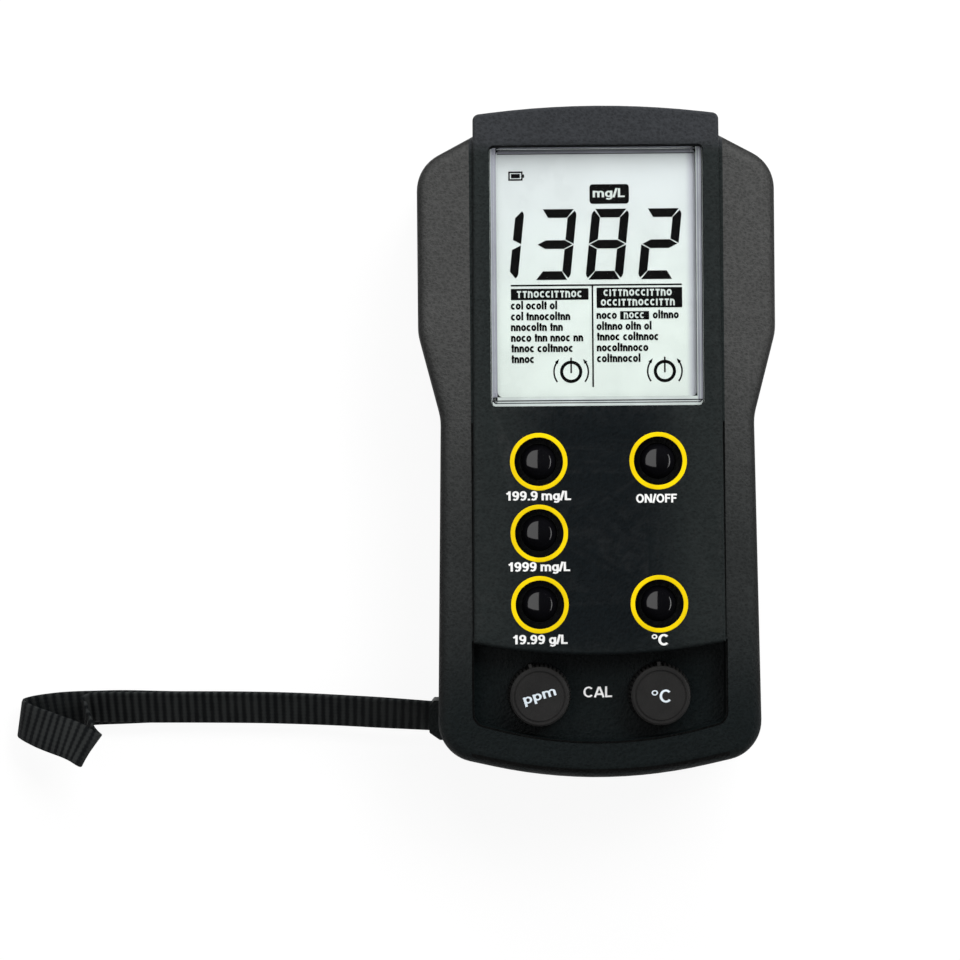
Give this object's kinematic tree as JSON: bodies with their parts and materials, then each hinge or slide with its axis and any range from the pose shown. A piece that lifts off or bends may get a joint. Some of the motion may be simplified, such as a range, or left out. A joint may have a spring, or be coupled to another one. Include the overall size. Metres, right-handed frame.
{
  "type": "handheld conductivity meter",
  "caption": "Handheld conductivity meter with a large display, domed push buttons, two knurled trim knobs in a recess, a probe socket, a sliding battery door and a wrist strap.",
  "frame": {"origin": "on the surface the meter lies on, under the middle of its back", "axes": "+Z out of the face, +Y along the case towards the display and the probe socket, +X across the case to the right as the face is read"},
  "size_m": [0.1751, 0.15, 0.036],
  "materials": {
    "case_plastic": "fine leather-like grain",
    "window_clear": "clear polished plastic window",
    "display_glass": "pale grey-green reflective display",
    "frame_plastic": "plain moulded",
    "board_green": "solder mask",
    "chip_black": "moulded epoxy",
    "can_aluminium": "sleeved can",
    "button_black": "polished",
    "knob_black": "satin",
    "shaft_grey": "plain moulded",
    "pot_blue": "plain moulded",
    "screw_steel": "plated",
    "battery_jacket": "plain printed metal jacket with no print",
    "snap_black": "soft vinyl",
    "lead_red": "insulated wire",
    "socket_nickel": "nickel plated",
    "insert_grey": "thermoset",
    "contact_gold": "gilt",
    "seal_rubber": "plain",
    "strip_rubber": "striped elastomer",
    "strap_webbing": "ribbed nylon webbing"
  },
  "bodies": {
    "case": {"front_case": "case_plastic", "rear_case": "case_plastic", "case_seal": "seal_rubber", "display_window": "window_clear", "lcd_panel": "display_glass", "lcd_frame": "frame_plastic", "lcd_contact_strips": "strip_rubber", "circuit_board": "board_green", "circuit_chips": "chip_black", "capacitors": "can_aluminium", "button_switches": "chip_black", "tds_potentiometer": "pot_blue", "temperature_potentiometer": "pot_blue", "case_screws": "screw_steel", "board_screws": "screw_steel", "battery": "battery_jacket", "battery_snap": "snap_black", "battery_leads": "lead_red", "probe_socket_shell": "socket_nickel", "probe_socket_insert": "insert_grey", "probe_socket_contacts": "contact_gold", "probe_socket_nut": "socket_nickel", "strap_anchor": "frame_plastic", "wrist_strap": "strap_webbing"},
    "low_range_button": {"low_range_button": "button_black"},
    "middle_range_button": {"middle_range_button": "button_black"},
    "high_range_button": {"high_range_button": "button_black"},
    "power_button": {"power_button": "button_black"},
    "temperature_button": {"temperature_button": "button_black"},
    "tds_knob": {"tds_knob": "knob_black", "tds_shaft": "shaft_grey"},
    "temperature_knob": {"temperature_knob": "knob_black", "temperature_shaft": "shaft_grey"},
    "battery_door": {"battery_door": "case_plastic"}
  },
  "joints": [
    {"name": "low_range_button_press", "type": "slide", "parent": "case", "child": "low_range_button", "axis": [0, 0, -1], "range_m": [0, 0.0008], "stiffness_N_per_m": 400},
    {"name": "middle_range_button_press", "type": "slide", "parent": "case", "child": "middle_range_button", "axis": [0, 0, -1], "range_m": [0, 0.0008], "stiffness_N_per_m": 400},
    {"name": "high_range_button_press", "type": "slide", "parent": "case", "child": "high_range_button", "axis": [0, 0, -1], "range_m": [0, 0.0008], "stiffness_N_per_m": 400},
    {"name": "power_button_press", "type": "slide", "parent": "case", "child": "power_button", "axis": [0, 0, -1], "range_m": [0, 0.0008], "stiffness_N_per_m": 400},
    {"name": "temperature_button_press", "type": "slide", "parent": "case", "child": "temperature_button", "axis": [0, 0, -1], "range_m": [0, 0.0008], "stiffness_N_per_m": 400},
    {"name": "tds_knob_turn", "type": "hinge", "parent": "case", "child": "tds_knob", "pos_m": [-0.0135, -0.0566, 0.029], "axis": [0, 0, 1], "range_deg": [-150, 150]},
    {"name": "temperature_knob_turn", "type": "hinge", "parent": "case", "child": "temperature_knob", "pos_m": [0.0135, -0.0566, 0.029], "axis": [0, 0, 1], "range_deg": [-150, 150]},
    {"name": "battery_door_slide", "type": "slide", "parent": "case", "child": "battery_door", "axis": [0, -1, 0], "range_m": [0, 0.064]}
  ]
}
